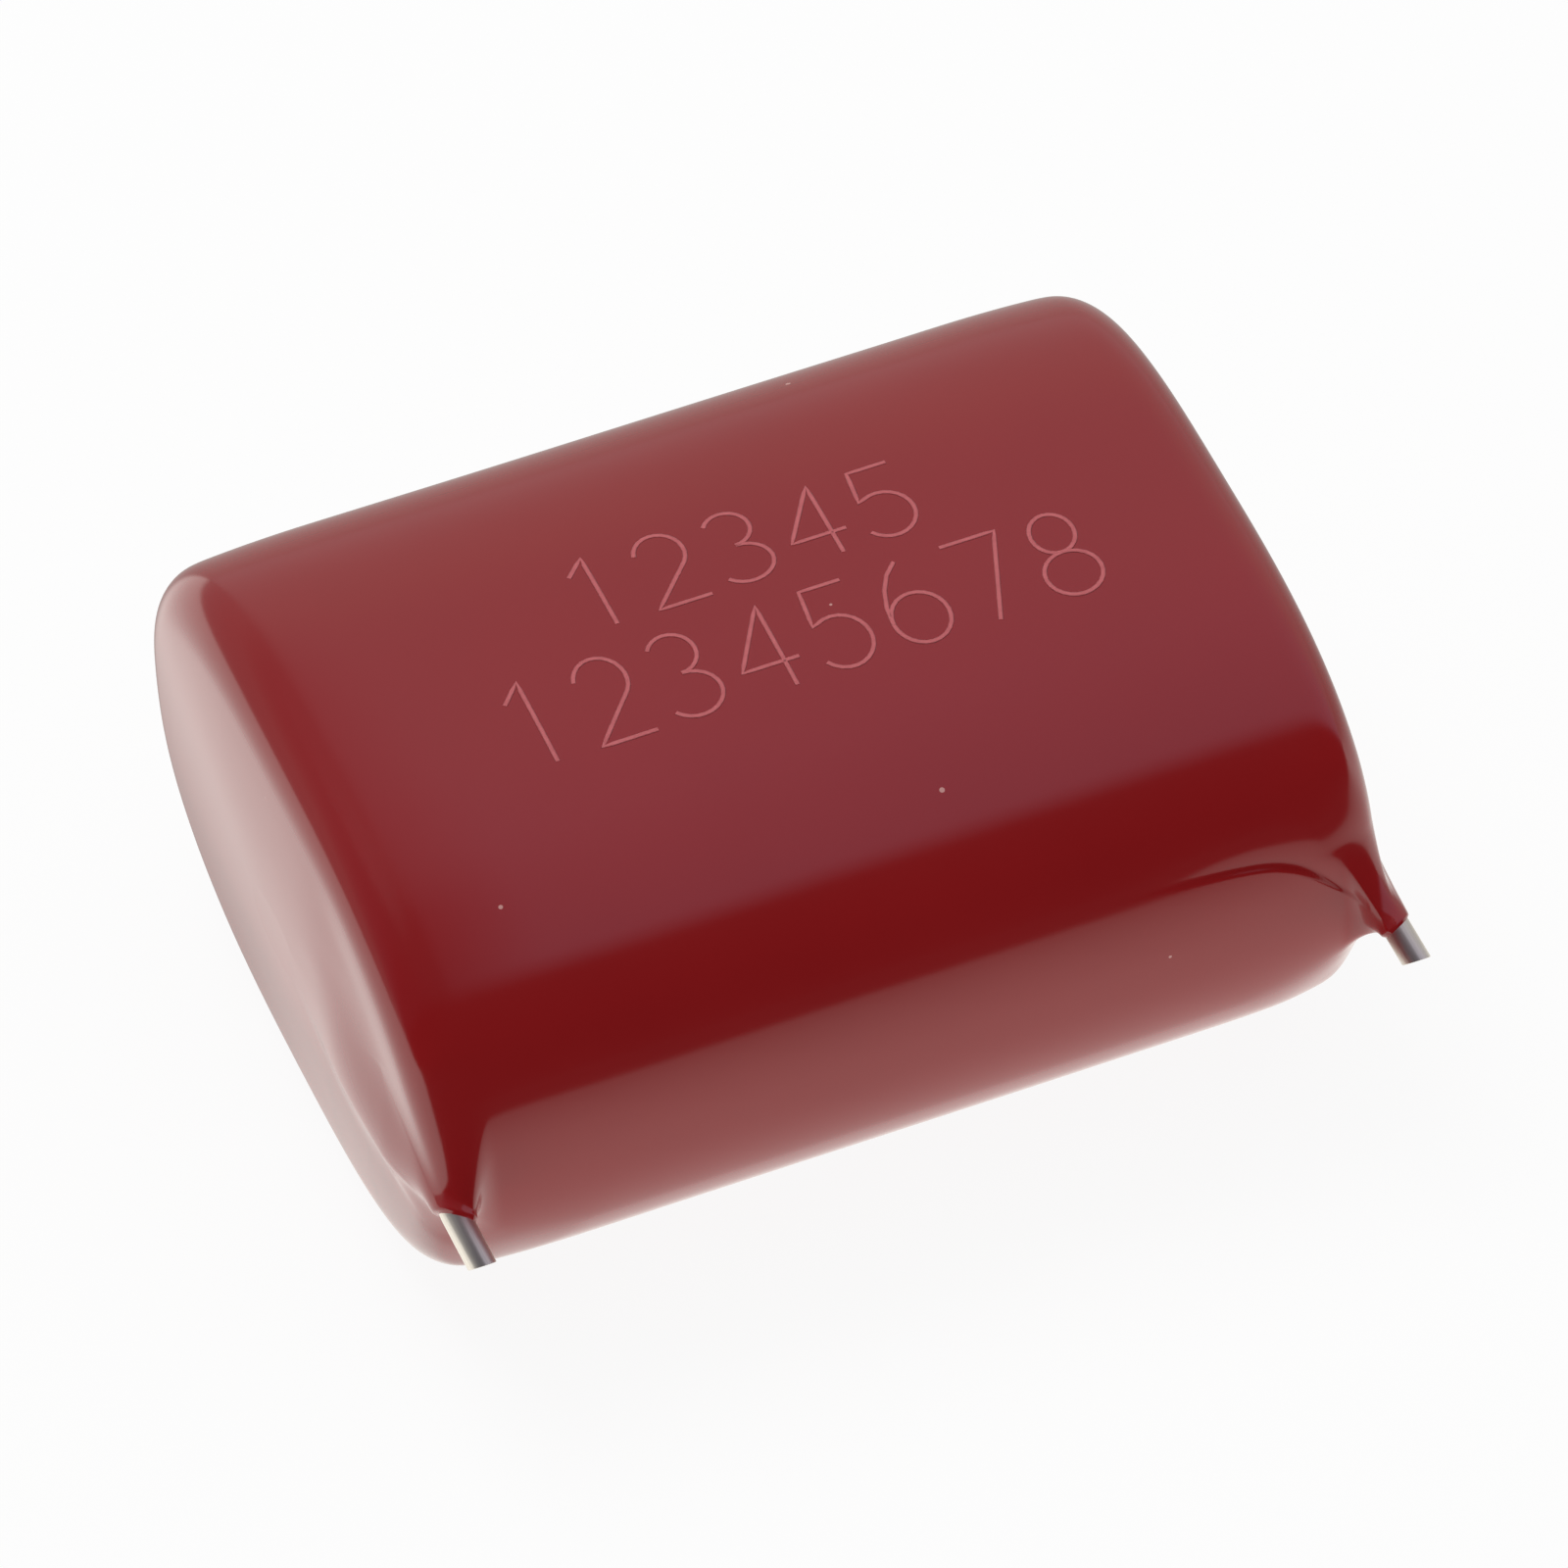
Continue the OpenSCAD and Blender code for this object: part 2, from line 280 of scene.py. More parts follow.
# The stations along the body, each with its place, half-width and half-thickness. Towards
# its ends the coat draws in a little before the rim turns.
end_draw, draw_from, straight = 0.1 * mm, 9.5 * mm, 9.2 * mm
full_w, full_t = half_w - end_draw, half_t - end_draw
stations = [
    (-rim_x - end_rise * (1 - s**2), (full_w - rim_r) * s, (full_t - rim_r) * s)
    for s in (1 / 6, 1 / 3, 1 / 2, 2 / 3, 5 / 6, 11 / 12)
]
for k in range(7):
    turn = math.pi / 2 * (1 - k / 6)
    inset = rim_r * (1 - math.cos(turn))
    stations.append((-rim_x + rim_r * (1 - math.sin(turn)), full_w - inset, full_t - inset))
for x in (-12.2 * mm, -11.75 * mm, -11.3 * mm, -10.8 * mm, -10.3 * mm, -9.75 * mm, -straight):
    draw = end_draw * max((-x - draw_from) / (rim_x - rim_r - draw_from), 0) ** 2
    stations.append((x, half_w - draw, half_t - draw))
stations += [(straight * k / 6, half_w, half_t) for k in range(-5, 1)]
stations += [(-x, w, t) for x, w, t in reversed(stations[:-1])]

bpy.ops.object.select_all(action="DESELECT")
bpy.ops.mesh.primitive_circle_add(vertices=len(outline), radius=half_w)
coat = bpy.context.object
coat.name = "epoxy_dip_coat"
bpy.ops.object.mode_set(mode="EDIT")
bm = bmesh.from_edit_mesh(coat.data)
ring = bm.verts.layers.int.new("ring")
column = bm.verts.layers.int.new("column")
x, w, t = stations[0]
for k, vertex in enumerate(bm.verts):
    vertex.co = (
        x,
        -w * power(math.cos(outline[k]), 2 / side_power),
        mid_z + t * power(math.sin(outline[k]), 2 / face_power),
    )
    vertex[column] = k
bmesh.update_edit_mesh(coat.data)
bpy.ops.mesh.select_all(action="SELECT")
for k in range(1, len(stations)):
    x, w, t = stations[k]
    last_x, last_w, last_t = stations[k - 1]
    bpy.ops.mesh.extrude_edges_move(TRANSFORM_OT_translate={"value": (x - last_x, 0, 0)})
    bpy.ops.transform.resize(value=(1, w / last_w, t / last_t), center_override=(x, 0, mid_z))
    bm = bmesh.from_edit_mesh(coat.data)
    ring = bm.verts.layers.int["ring"]
    for vertex in bm.verts:
        if vertex.select:
            vertex[ring] = k
last = len(stations) - 1

# Each tail under the coat raises a ridge on its end face, which runs forward to the lead.
# Above the left one the coat has sunk a little, in a hollow that narrows towards the lead.
# A ridge is full on the end face and fades out round the rim, by the twelfth station.
crest, crest_w = -0.8 * mm, 0.9 * mm
hollow_h, hollow_w, hollow_slope = 0.08 * mm, 2.4 * mm, 0.46
ridge_stations = 12
bm = bmesh.from_edit_mesh(coat.data)
ring = bm.verts.layers.int["ring"]
for vertex in bm.verts:
    from_end = min(vertex[ring], last - vertex[ring])
    y, up = vertex.co.y, vertex.co.z - mid_z
    if from_end >= ridge_stations or y > -tail_stop:
        continue
    if vertex.co.x > 0:
        rise = ridge_h * (1 - smooth(abs(up) / ridge_w))
    else:
        lowest = max(2.9 * mm + hollow_slope * (y + 6.4 * mm), 0.5 * mm)
        if up < crest:
            rise = ridge_h * (1 - smooth((crest - up) / crest_w))
        elif up < lowest:
            rise = ridge_h - (ridge_h + hollow_h) * smooth((up - crest) / (lowest - crest))
        else:
            rise = -hollow_h * (1 - smooth((up - lowest) / hollow_w))
    rise *= smooth((-y - tail_stop) / (3 * mm)) * smooth((ridge_stations - from_end) / 6)
    vertex.co.x += rise * math.copysign(1, vertex.co.x)
# The lower front corner at the right end is rounder than the others.
corner, corner_r = Vector((14 * mm, -10.5 * mm, mid_z - 3.4 * mm)), 3.2 * mm
drawn_in = 0.4 * mm * Vector((-0.7, 0.7, 0))
for vertex in bm.verts:
    vertex.co += (1 - smooth((vertex.co - corner).length / corner_r)) * drawn_in
# It was laid down to cure, so that it has a small flat underneath.
for vertex in bm.verts:
    vertex.co.z = max(vertex.co.z, 0)
bmesh.update_edit_mesh(coat.data)
bpy.ops.mesh.select_all(action="SELECT")
bpy.ops.mesh.normals_make_consistent(inside=False)


def rise_to_lead(side, rings, columns, run, thick, aside, lean, stretch, pull):
    """Opens the skin in front of a lead and draws its edge out along the wire to a sleeve.

    The opening lies between two rings and two columns of the mesh. The skin has run down the
    wire by run and is thick there. The sleeve reaches further by aside on its right and by
    lean on its top. Stretch says how closely the curve follows the body at first, and pull
    how closely it follows the wire at last.
    """
    bpy.ops.mesh.select_mode(type="FACE")
    bpy.ops.mesh.select_all(action="DESELECT")
    bm = bmesh.from_edit_mesh(coat.data)
    ring = bm.verts.layers.int["ring"]
    column = bm.verts.layers.int["column"]
    wide, high = rings[1] - rings[0], columns[1] - columns[0]
    low_z, high_z = front_heights[columns[0]], front_heights[columns[1]]
    for face in bm.faces:
        face.select = all(
            rings[0] <= v[ring] <= rings[1] and columns[0] <= v[column] <= columns[1]
            for v in face.verts
        )
    # Each point of the opening's edge runs to its own angle round the wire.
    edge_points = {}
    for vertex in bm.verts:
        i, j = vertex[ring] - rings[0], vertex[column] - columns[0]
        if not (0 <= i <= wide and 0 <= j <= high and (i in (0, wide) or j in (0, high))):
            continue
        if j == 0:
            turn = -135 + 90 * i / wide
        elif i == wide:
            turn = -45 + 90 * (front_heights[vertex[column]] - low_z) / (high_z - low_z)
        elif j == high:
            turn = 135 - 90 * i / wide
        else:
            turn = 225 - 90 * (front_heights[vertex[column]] - low_z) / (high_z - low_z)
        edge_points[vertex[ring], vertex[column]] = (
            math.radians(turn), vertex.co.copy(), vertex.normal.copy()
        )
    bpy.ops.mesh.delete(type="FACE")
    bpy.ops.mesh.select_mode(type="VERT")
    bm = bmesh.from_edit_mesh(coat.data)
    ring = bm.verts.layers.int["ring"]
    column = bm.verts.layers.int["column"]
    for vertex in bm.verts:
        vertex.select = (vertex[ring], vertex[column]) in edge_points
    bm.select_flush_mode()
    tip = Vector((side * lead_x, -half_w - run, mid_z))
    # Each step is how far along the curve it is, its radius and its depth behind the tip.
    # The skin thins out on the wire and ends inside it.
    shares = (0.04, 0.1, 0.18, 0.28, 0.4, 0.54, 0.7, 0.86, 1)
    steps = [(share, lead_r + thick, 1.2 * thick) for share in shares]
    steps += [
        (1, lead_r + share * thick, depth * thick)
        for share, depth in ((0.85, 0.6), (0.55, 0.2), (0.22, -0.1))
    ]
    steps += [(1, lead_r - 0.01 * mm, -0.12 * mm), (1, lead_r - 0.10 * mm, -0.14 * mm)]
    steps += [(1, lead_r - 0.12 * mm, 0.8 * mm)]
    for t, radius, depth in steps:
        bpy.ops.mesh.extrude_edges_move()
        bm = bmesh.from_edit_mesh(coat.data)
        ring = bm.verts.layers.int["ring"]
        column = bm.verts.layers.int["column"]
        for vertex in bm.verts:
            if not vertex.select:
                continue
            turn, start, normal = edge_points[vertex[ring], vertex[column]]
            end = tip + Vector((
                radius * math.cos(turn),
                depth - aside * math.cos(turn) - lean * math.sin(turn),
                radius * math.sin(turn),
            ))
            along = tip - start
            along = (along - along.dot(normal) * normal).normalized()
            ahead = pull * max(start.y - end.y, 0)
            vertex.co = (
                (2 * t**3 - 3 * t**2 + 1) * start
                + (t**3 - 2 * t**2 + t) * stretch * (end - start).length * along
                + (3 * t**2 - 2 * t**3) * end
                + (t**3 - t**2) * ahead * Vector((0, -1, 0))
            )
        bmesh.update_edit_mesh(coat.data)
    bpy.ops.mesh.edge_face_add()


rise_to_lead(
    side=-1, rings=(4, 13), columns=(2, 27), run=run_left, thick=0.16 * mm,
    aside=0.37 * mm, lean=0.3 * mm, stretch=1.0, pull=0.7,
)
rise_to_lead(
    side=1, rings=(last - 12, last - 3), columns=(2, 20), run=run_right, thick=0.14 * mm,
    aside=-0.22 * mm, lean=0.3 * mm, stretch=0.8, pull=1.0,
)

# The end faces are closed by a grid inside their smallest ring.
for end_x in (-1, 1):
    bpy.ops.mesh.select_mode(type="VERT")
    bpy.ops.mesh.select_all(action="DESELECT")
    bm = bmesh.from_edit_mesh(coat.data)
    for vertex in bm.verts:
        vertex.select = vertex.is_boundary and vertex.co.x * end_x > rim_x
    bm.select_flush_mode()
    bmesh.update_edit_mesh(coat.data)
    bpy.ops.mesh.fill_grid(span=18)
bpy.ops.mesh.select_all(action="SELECT")
bpy.ops.mesh.normals_make_consistent(inside=False)
bpy.ops.object.mode_set(mode="OBJECT")
for layer in ("ring", "column"):
    coat.data.attributes.remove(coat.data.attributes[layer])

skin = coat.modifiers.new("even_skin", "SUBSURF")
skin.levels = skin.render_levels = 2
bpy.ops.object.modifier_apply(modifier="even_skin")

# Between the leads, the resin pulls itself smooth where it leaves the front for a lead. It
# stays as it is on the wires, beyond 5 mm from them and on the end faces.
inner_side = coat.vertex_groups.new(name="inner_side_of_leads")
for vertex in coat.data.vertices:
    inwards, up = lead_x - abs(vertex.co.x), vertex.co.z - mid_z
    off_wire = math.hypot(inwards, up)
    pulled = smooth((off_wire - 0.6 * mm) / (0.8 * mm)) * smooth((5 * mm - off_wire) / (2 * mm))
    pulled *= smooth((inwards + 0.2 * mm) / (0.8 * mm))
    pulled *= smooth((-vertex.co.y - 10 * mm) / (0.8 * mm))
    inner_side.add([vertex.index], pulled, "REPLACE")
tension = coat.modifiers.new("pulled_smooth", "SMOOTH")
tension.factor = 0.5
tension.iterations = 260
tension.vertex_group = inner_side.name
bpy.ops.object.modifier_apply(modifier="pulled_smooth")
coat.vertex_groups.clear()

# The free edge of the outer film turns down to the right lead under the skin. Above it the
# skin has sunk in by about 0.1 mm, so that the edge shows as a dark line. Each corner of
# the line has its places along and up, how deep the skin lies above it and over what height.
film_edge = [
    tuple(value * mm for value in corner)
    for corner in (
        (6.2, 2.82, 0, 1.1), (7.3, 2.74, 0.02, 1.1), (8.6, 2.64, 0.08, 1.2),
        (9.3, 2.57, 0.12, 1.3), (10.1, 2.46, 0.14, 1.5), (10.7, 2.33, 0.14, 1.7),
        (11.2, 2.12, 0.14, 1.8), (11.7, 1.80, 0.13, 1.8), (12.1, 1.40, 0.11, 1.5),
        (12.6, 0.80, 0.07, 1.0), (13.1, 0.23, 0, 0.7),
    )
]


def film_edge_at(x):
    """The edge's height, depth and reach at a place along, rounded over 0.8 mm."""
    rounded = [0, 0, 0]
    for k in range(-4, 5):
        near = min(max(x + k * 0.1 * mm, film_edge[0][0]), film_edge[-1][0])
        start, end = next(pair for pair in zip(film_edge, film_edge[1:]) if near <= pair[1][0])
        share = (near - start[0]) / (end[0] - start[0])
        for i in range(3):
            rounded[i] += (start[i + 1] + share * (end[i + 1] - start[i + 1])) / 9
    return rounded


edge_w = 0.18 * mm
outward = [vertex.normal.copy() for vertex in coat.data.vertices]
for vertex in coat.data.vertices:
    x, up = vertex.co.x, vertex.co.z - mid_z
    on_front = vertex.co.y < -8 * mm and -0.5 * mm < up < 5 * mm
    if on_front and film_edge[0][0] < x < film_edge[-1][0]:
        edge_up, deep, high = film_edge_at(x)
        above = up - edge_up
        sunk = smooth(above / edge_w) * max(1 - above / high, 0) ** 1.5
        vertex.co -= deep * sunk * outward[vertex.index]

# Draining leaves the skin a few hundredths thinner here and there, but not where it rests.
off_rest = coat.vertex_groups.new(name="off_the_rest")
for vertex in coat.data.vertices:
    off_rest.add([vertex.index], smooth((vertex.co.z - 0.5 * mm) / (3 * mm)), "REPLACE")
drain = bpy.data.textures.new("drained_skin", "CLOUDS")
drain.noise_scale = 9 * mm
drain.noise_depth = 0
thin = coat.modifiers.new("thinner_places", "DISPLACE")
thin.texture = drain
thin.strength = 0.06 * mm
thin.mid_level = 1
thin.vertex_group = off_rest.name
bpy.ops.object.modifier_apply(modifier="thinner_places")
coat.vertex_groups.clear()
bpy.ops.object.shade_smooth()

# Epoxy dipping resin, pigmented red and cured to a gloss: a deep red under a clear shine.
red_epoxy = new_material("red_dipping_epoxy")
tree = red_epoxy.node_tree
place = add_node(tree, "ShaderNodeTexCoord")
# The pigment lies a little unevenly over about 8 mm.
cloud = add_node(
    tree, "ShaderNodeTexNoise", {"Scale": 1 / (8 * mm), "Detail": 2, "Roughness": 0.5},
    {"Vector": place.outputs["Object"]},
)
pigment = add_node(
    tree, "ShaderNodeMix", {"A": linear("851518"), "B": linear("8D191B")},
    {"Factor": cloud.outputs["Fac"]}, data_type="RGBA",
)
# Specks of dust about 0.1 mm across lie some 5 mm apart.
grains = add_node(
    tree, "ShaderNodeTexVoronoi", {"Scale": 1 / (3.5 * mm)}, {"Vector": place.outputs["Object"]},
)
speck = add_node(
    tree, "ShaderNodeMath", {1: 0.022}, {0: grains.outputs["Distance"]}, operation="LESS_THAN",
)
dusty = add_node(
    tree, "ShaderNodeMix", {"B": linear("C08A84")},
    {"Factor": speck.outputs[0], "A": pigment.outputs["Result"]}, data_type="RGBA",
)
# Orange peel: low waves about 1.3 mm apart, and finer ones on them.
peel = add_node(
    tree, "ShaderNodeTexNoise", {"Scale": 1 / (1.3 * mm), "Detail": 1.5, "Roughness": 0.4},
    {"Vector": place.outputs["Object"]},
)
waves = add_node(
    tree, "ShaderNodeBump", {"Strength": 1, "Distance": 0.0015 * mm},
    {"Height": peel.outputs["Fac"]},
)
shell = add_node(
    tree, "ShaderNodeBsdfPrincipled", {"Roughness": 0.14, "IOR": 1.55},
    {"Base Color": dusty.outputs["Result"], "Normal": waves.outputs[0]},
)
add_node(tree, "ShaderNodeOutputMaterial", links={"Surface": shell.outputs[0]})
coat.data.materials.append(red_epoxy)
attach(coat, "root")
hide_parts("epoxy_coat")

# ---------------------------------------------------------------------------
# The marking. A single fine line draws plain figures in the top of the coat,
# where a laser has bleached the pigment to a paler red. They say nothing.
# ---------------------------------------------------------------------------
def bow(x, y, rx, ry, start, end):
    """Points along part of an ellipse, by its angles in degrees."""
    count = max(4, round(abs(end - start) / 15))
    turns = [math.radians(start + (end - start) * k / count) for k in range(count + 1)]
    return [(x + rx * math.cos(a), y + ry * math.sin(a)) for a in turns]


def run_through(corners):
    """The corners of a stroke with points between them, about a tenth of its height apart."""
    points = [corners[0]]
    for (x0, y0), (x1, y1) in zip(corners, corners[1:]):
        count = max(1, round(math.hypot(x1 - x0, y1 - y0) / 0.1))
        shares = [k / count for k in range(1, count + 1)]
        points += [(x0 + (x1 - x0) * share, y0 + (y1 - y0) * share) for share in shares]
    return points


figures = {
    "1": [[(0.12, 0.78), (0.34, 1), (0.34, 0)]],
    "2": [bow(0.30, 0.71, 0.27, 0.29, 165, -40) + [(0, 0), (0.6, 0)]],
    "3": [bow(0.27, 0.76, 0.25, 0.24, 150, -90), bow(0.27, 0.26, 0.31, 0.26, 90, -145)],
    "4": [[(0.62, 0.30), (0, 0.30), (0.46, 1), (0.46, 0)]],
    "5": [[(0.56, 1), (0.11, 1), (0.06, 0.56)] + bow(0.27, 0.31, 0.31, 0.31, 118, -145)],
    "6": [bow(0.62, 0.30, 0.62, 0.80, 118, 180) + bow(0.30, 0.30, 0.30, 0.30, 180, 540)],
    "7": [[(0, 1), (0.6, 1), (0.20, 0)]],
    "8": [bow(0.30, 0.76, 0.23, 0.24, -90, 270), bow(0.30, 0.26, 0.30, 0.26, 90, 450)],
}
# Each row has its figures, its first figure's place, its pitch, and its height and width.
rows = [
    ("12345", -4.6 * mm, 0.5 * mm, 2.13 * mm, 2.85 * mm, 2.6 * mm),
    ("12345678", -8.0 * mm, -3.6 * mm, 2.24 * mm, 3.15 * mm, 2.7 * mm),
]
line = bpy.data.curves.new("laser_line", "CURVE")
line.dimensions = "3D"
line.bevel_depth = 0.075 * mm
line.bevel_resolution = 1
line.use_fill_caps = True
for text, row_x, row_y, pitch, height, width in rows:
    for place_in_row, figure in enumerate(text):
        for stroke in map(run_through, figures[figure]):
            spline = line.splines.new("POLY")
            spline.points.add(len(stroke) - 1)
            for point, (u, v) in zip(spline.points, stroke):
                point.co = (row_x + pitch * place_in_row + u * width, row_y + v * height, 0, 1)
bpy.ops.object.select_all(action="DESELECT")
marking = bpy.data.objects.new("laser_marking", line)
bpy.context.scene.collection.objects.link(marking)
bpy.context.view_layer.objects.active = marking
marking.select_set(True)
bpy.ops.object.convert(target="MESH")
# The line is pressed almost flat and laid on the coat, a few thousandths proud of it.
proud, flattened = 0.003 * mm, 0.08
for vertex in marking.data.vertices:
    _, spot_on_coat, _, _ = coat.ray_cast((vertex.co.x, vertex.co.y, 30 * mm), (0, 0, -1))
    vertex.co.z = spot_on_coat.z + proud + flattened * vertex.co.z
bpy.ops.object.shade_smooth()
# Epoxy that a laser has bleached: a dry, pale red line, without the gloss of the coat.
bleached = new_material("laser_bleached_epoxy")
tree = bleached.node_tree
place = add_node(tree, "ShaderNodeTexCoord")
grain = add_node(
    tree, "ShaderNodeTexNoise", {"Scale": 1 / (0.25 * mm), "Detail": 1},
    {"Vector": place.outputs["Object"]},
)
pale = add_node(
    tree, "ShaderNodeMix", {"A": linear("B04E52"), "B": linear("C66468")},
    {"Factor": grain.outputs["Fac"]}, data_type="RGBA",
)
shell = add_node(
    tree, "ShaderNodeBsdfPrincipled", {"Roughness": 0.4, "IOR": 1.5},
    {"Base Color": pale.outputs["Result"]},
)
add_node(tree, "ShaderNodeOutputMaterial", links={"Surface": shell.outputs[0]})
marking.data.materials.append(bleached)
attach(marking, "root")


# ---------------------------------------------------------------------------
# The leads. Each is a tinned copper wire. Its tail is pressed flat against the
# sprayed end for the solder joint, and its free end is snipped off short.
# ---------------------------------------------------------------------------
# Pressed flat, the wire is a strip of the same section. It swells back to round in the coat.
spray_x = lead_x - lead_r
tail_t = 0.5 * mm
tail_w = math.pi * lead_r**2 / tail_t
swell_l = 2.2 * mm
lead_end = half_w + 2.4 * mm
snip_angle = math.radians(42)

# Drawn copper wire, dipped in tin: a bright, slightly soft mirror with fine lines along it.
tinned_wire = new_material("tinned_copper_wire")
tree = tinned_wire.node_tree
place = add_node(tree, "ShaderNodeTexCoord")
# The drawing lines are some 0.05 mm apart across the wire and run 4 mm along it.
drawn = add_node(
    tree, "ShaderNodeMapping", {"Scale": (1 / (0.05 * mm), 1 / (4 * mm), 1 / (0.05 * mm))},
    {"Vector": place.outputs["Object"]},
)
lines = add_node(
    tree, "ShaderNodeTexNoise", {"Scale": 1, "Detail": 1}, {"Vector": drawn.outputs[0]},
)
tin = add_node(
    tree, "ShaderNodeMix", {"A": linear("C9C3BA"), "B": linear("E6E0D6")},
    {"Factor": lines.outputs["Fac"]}, data_type="RGBA",
)
waves = add_node(
    tree, "ShaderNodeBump", {"Strength": 1, "Distance": 0.002 * mm},
    {"Height": lines.outputs["Fac"]},
)
shell = add_node(
    tree, "ShaderNodeBsdfPrincipled", {"Metallic": 1, "Roughness": 0.42},
    {"Base Color": tin.outputs["Result"], "Normal": waves.outputs[0]},
)
add_node(tree, "ShaderNodeOutputMaterial", links={"Surface": shell.outputs[0]})

for name, side, run in (("left", -1, run_left), ("right", 1, run_right)):
    bpy.ops.object.select_all(action="DESELECT")
    bpy.ops.mesh.primitive_circle_add(
        vertices=40, radius=lead_r, fill_type="NGON", rotation=(math.pi / 2, 0, 0),
    )
    bpy.ops.object.transform_apply(location=True, rotation=True, scale=True)
    wire = bpy.context.object
    wire.name = "tinned_lead_" + name
    bpy.ops.object.mode_set(mode="EDIT")
    bpy.ops.mesh.select_all(action="SELECT")
    # The stations of the wire, each with its place, its middle and its thickness and width.
    round_y = half_w + run - 0.12 * mm
    tail_x = spray_x + tail_t / 2
    path = [
        (tail_stop, tail_x, 0.9 * tail_t, 0.9 * tail_w),
        (tail_stop + 0.1 * mm, tail_x, tail_t, tail_w),
        (round_y - swell_l, tail_x, tail_t, tail_w),
    ]
    path += [
        (
            round_y - swell_l * (1 - k / 6),
            tail_x + (lead_x - tail_x) * smooth(k / 6),
            tail_t + (2 * lead_r - tail_t) * smooth(k / 6),
            tail_w + (2 * lead_r - tail_w) * smooth(k / 6),
        )
        for k in range(1, 7)
    ]
    path += [(lead_end + 1 * mm, lead_x, 2 * lead_r, 2 * lead_r)]
    y, x, thick, wide = path[0]
    bpy.ops.transform.resize(value=(thick / 2 / lead_r, 1, wide / 2 / lead_r))
    bpy.ops.transform.translate(value=(side * x, -y, mid_z))
    for k in range(1, len(path)):
        last_y, last_x, last_thick, last_wide = path[k - 1]
        y, x, thick, wide = path[k]
        bpy.ops.mesh.extrude_region_move(
            TRANSFORM_OT_translate={"value": (side * (x - last_x), last_y - y, 0)}
        )
        bpy.ops.transform.resize(
            value=(thick / last_thick, 1, wide / last_wide),
            center_override=(side * x, -y, mid_z),
        )
    # The cutters leave the end slanting back under the wire.
    bpy.ops.mesh.select_all(action="SELECT")
    bpy.ops.mesh.bisect(
        plane_co=(side * lead_x, -lead_end, mid_z),
        plane_no=(0, -math.cos(snip_angle), -math.sin(snip_angle)),
        use_fill=True, clear_outer=True,
    )
    bpy.ops.mesh.select_all(action="SELECT")
    bpy.ops.mesh.normals_make_consistent(inside=False)
    bpy.ops.object.mode_set(mode="OBJECT")
    edge = wire.modifiers.new("snipped_edge", "BEVEL")
    edge.width = 0.03 * mm
    edge.segments = 2
    edge.limit_method = "ANGLE"
    bpy.ops.object.modifier_apply(modifier="snipped_edge")
    bpy.ops.object.shade_smooth_by_angle(angle=math.radians(30))
    wire.data.materials.append(tinned_wire)
    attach(wire, "root")
    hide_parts("lead_" + name)

# ---------------------------------------------------------------------------
# The winding. Two polypropylene films, each with a vacuum-coated layer of
# metal, are wound flat on each other and pressed to an oval block.
# ---------------------------------------------------------------------------
metallised = new_material("metallised_polypropylene")
tree = metallised.node_tree
place = add_node(tree, "ShaderNodeTexCoord")
# The layers are drawn 0.12 mm apart, far coarser than the real 0.006 mm, so that they show.
layers = add_node(
    tree, "ShaderNodeMapping", {"Scale": (1 / (12 * mm), 1 / (2 * mm), 1 / (0.12 * mm))},
    {"Vector": place.outputs["Object"]},
)
wound = add_node(
    tree, "ShaderNodeTexNoise", {"Scale": 1, "Detail": 2}, {"Vector": layers.outputs[0]},
)
metal = add_node(
    tree, "ShaderNodeMix", {"A": linear("9EA3AA"), "B": linear("CFD3D8")},
    {"Factor": wound.outputs["Fac"]}, data_type="RGBA",
)
waves = add_node(
    tree, "ShaderNodeBump", {"Strength": 0.5, "Distance": 0.01 * mm},
    {"Height": wound.outputs["Fac"]},
)
shell = add_node(
    tree, "ShaderNodeBsdfPrincipled", {"Metallic": 0.8, "Roughness": 0.25},
    {"Base Color": metal.outputs["Result"], "Normal": waves.outputs[0]},
)
add_node(tree, "ShaderNodeOutputMaterial", links={"Surface": shell.outputs[0]})


def give_finish(node, finish):
    """Gives its finish to a piece that is shown as its solid is."""
    piece = frame["nodes"][node]
    piece.data.materials.clear()
    piece.data.materials.append(finish)


give_finish("film_winding", metallised)

# ---------------------------------------------------------------------------
# The outer wrap. A few turns of the same film without metal hold the winding
# together and keep the coat away from it. They are milky and a little shiny.
# ---------------------------------------------------------------------------
bare_film = new_material("bare_polypropylene_film")
tree = bare_film.node_tree
place = add_node(tree, "ShaderNodeTexCoord")
creases = add_node(
    tree, "ShaderNodeTexNoise", {"Scale": 1 / (3 * mm), "Detail": 2},
    {"Vector": place.outputs["Object"]},
)
milky = add_node(
    tree, "ShaderNodeMix", {"A": linear("DAD6C6"), "B": linear("ECE8DA")},
    {"Factor": creases.outputs["Fac"]}, data_type="RGBA",
)
waves = add_node(
    tree, "ShaderNodeBump", {"Strength": 0.4, "Distance": 0.02 * mm},
    {"Height": creases.outputs["Fac"]},
)
shell = add_node(
    tree, "ShaderNodeBsdfPrincipled", {"Roughness": 0.3, "IOR": 1.49},
    {"Base Color": milky.outputs["Result"], "Normal": waves.outputs[0]},
)
add_node(tree, "ShaderNodeOutputMaterial", links={"Surface": shell.outputs[0]})
give_finish("outer_wrap", bare_film)

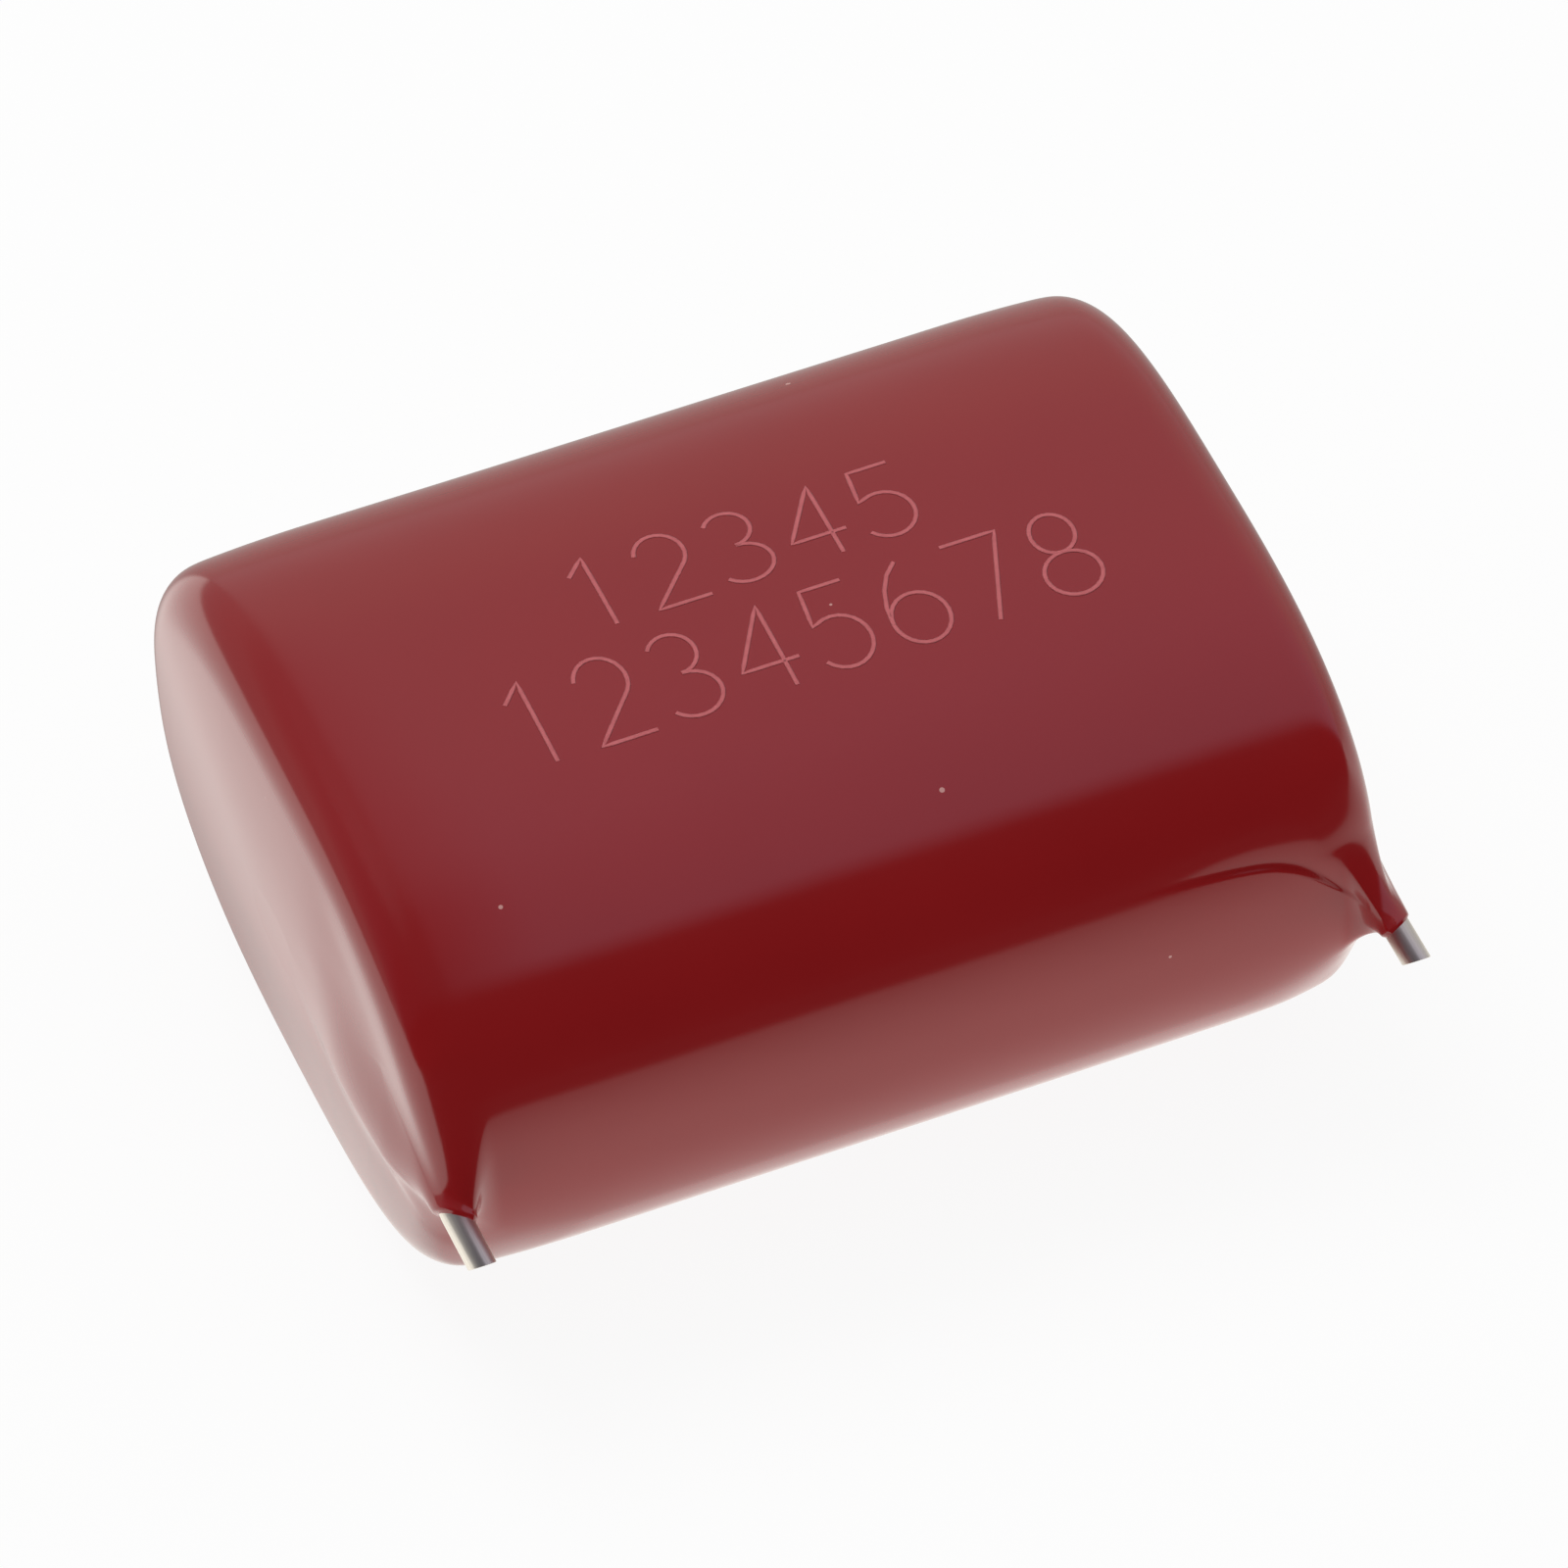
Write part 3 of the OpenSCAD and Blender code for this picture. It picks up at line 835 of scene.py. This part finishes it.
# ---------------------------------------------------------------------------
# The sprayed ends. Molten zinc is blown on both ends of the winding and joins
# the edges of all the layers. It sets grey and as rough as fine sandpaper.
# ---------------------------------------------------------------------------
sprayed_zinc = new_material("flame_sprayed_zinc")
tree = sprayed_zinc.node_tree
place = add_node(tree, "ShaderNodeTexCoord")
droplets = add_node(
    tree, "ShaderNodeTexNoise", {"Scale": 1 / (0.15 * mm), "Detail": 3, "Roughness": 0.6},
    {"Vector": place.outputs["Object"]},
)
zinc = add_node(
    tree, "ShaderNodeMix", {"A": linear("77797C"), "B": linear("A5A7A9")},
    {"Factor": droplets.outputs["Fac"]}, data_type="RGBA",
)
grit = add_node(
    tree, "ShaderNodeBump", {"Strength": 1, "Distance": 0.03 * mm},
    {"Height": droplets.outputs["Fac"]},
)
shell = add_node(
    tree, "ShaderNodeBsdfPrincipled", {"Metallic": 0.9, "Roughness": 0.6},
    {"Base Color": zinc.outputs["Result"], "Normal": grit.outputs[0]},
)
add_node(tree, "ShaderNodeOutputMaterial", links={"Surface": shell.outputs[0]})
for node in ("end_spray_left", "end_spray_right"):
    give_finish(node, sprayed_zinc)

# ---------------------------------------------------------------------------
# The solder joints. A drop of tin solder wets the zinc and the flat tail on
# it, and sets as a low, smooth cap.
# ---------------------------------------------------------------------------
tin_solder = new_material("tin_solder")
tree = tin_solder.node_tree
place = add_node(tree, "ShaderNodeTexCoord")
frost = add_node(
    tree, "ShaderNodeTexNoise", {"Scale": 1 / (0.4 * mm), "Detail": 2},
    {"Vector": place.outputs["Object"]},
)
bright = add_node(
    tree, "ShaderNodeMix", {"A": linear("BFC1C2"), "B": linear("DCDEDF")},
    {"Factor": frost.outputs["Fac"]}, data_type="RGBA",
)
waves = add_node(
    tree, "ShaderNodeBump", {"Strength": 0.5, "Distance": 0.01 * mm},
    {"Height": frost.outputs["Fac"]},
)
shell = add_node(
    tree, "ShaderNodeBsdfPrincipled", {"Metallic": 1, "Roughness": 0.28},
    {"Base Color": bright.outputs["Result"], "Normal": waves.outputs[0]},
)
add_node(tree, "ShaderNodeOutputMaterial", links={"Surface": shell.outputs[0]})
for node in ("solder_left", "solder_right"):
    give_finish(node, tin_solder)
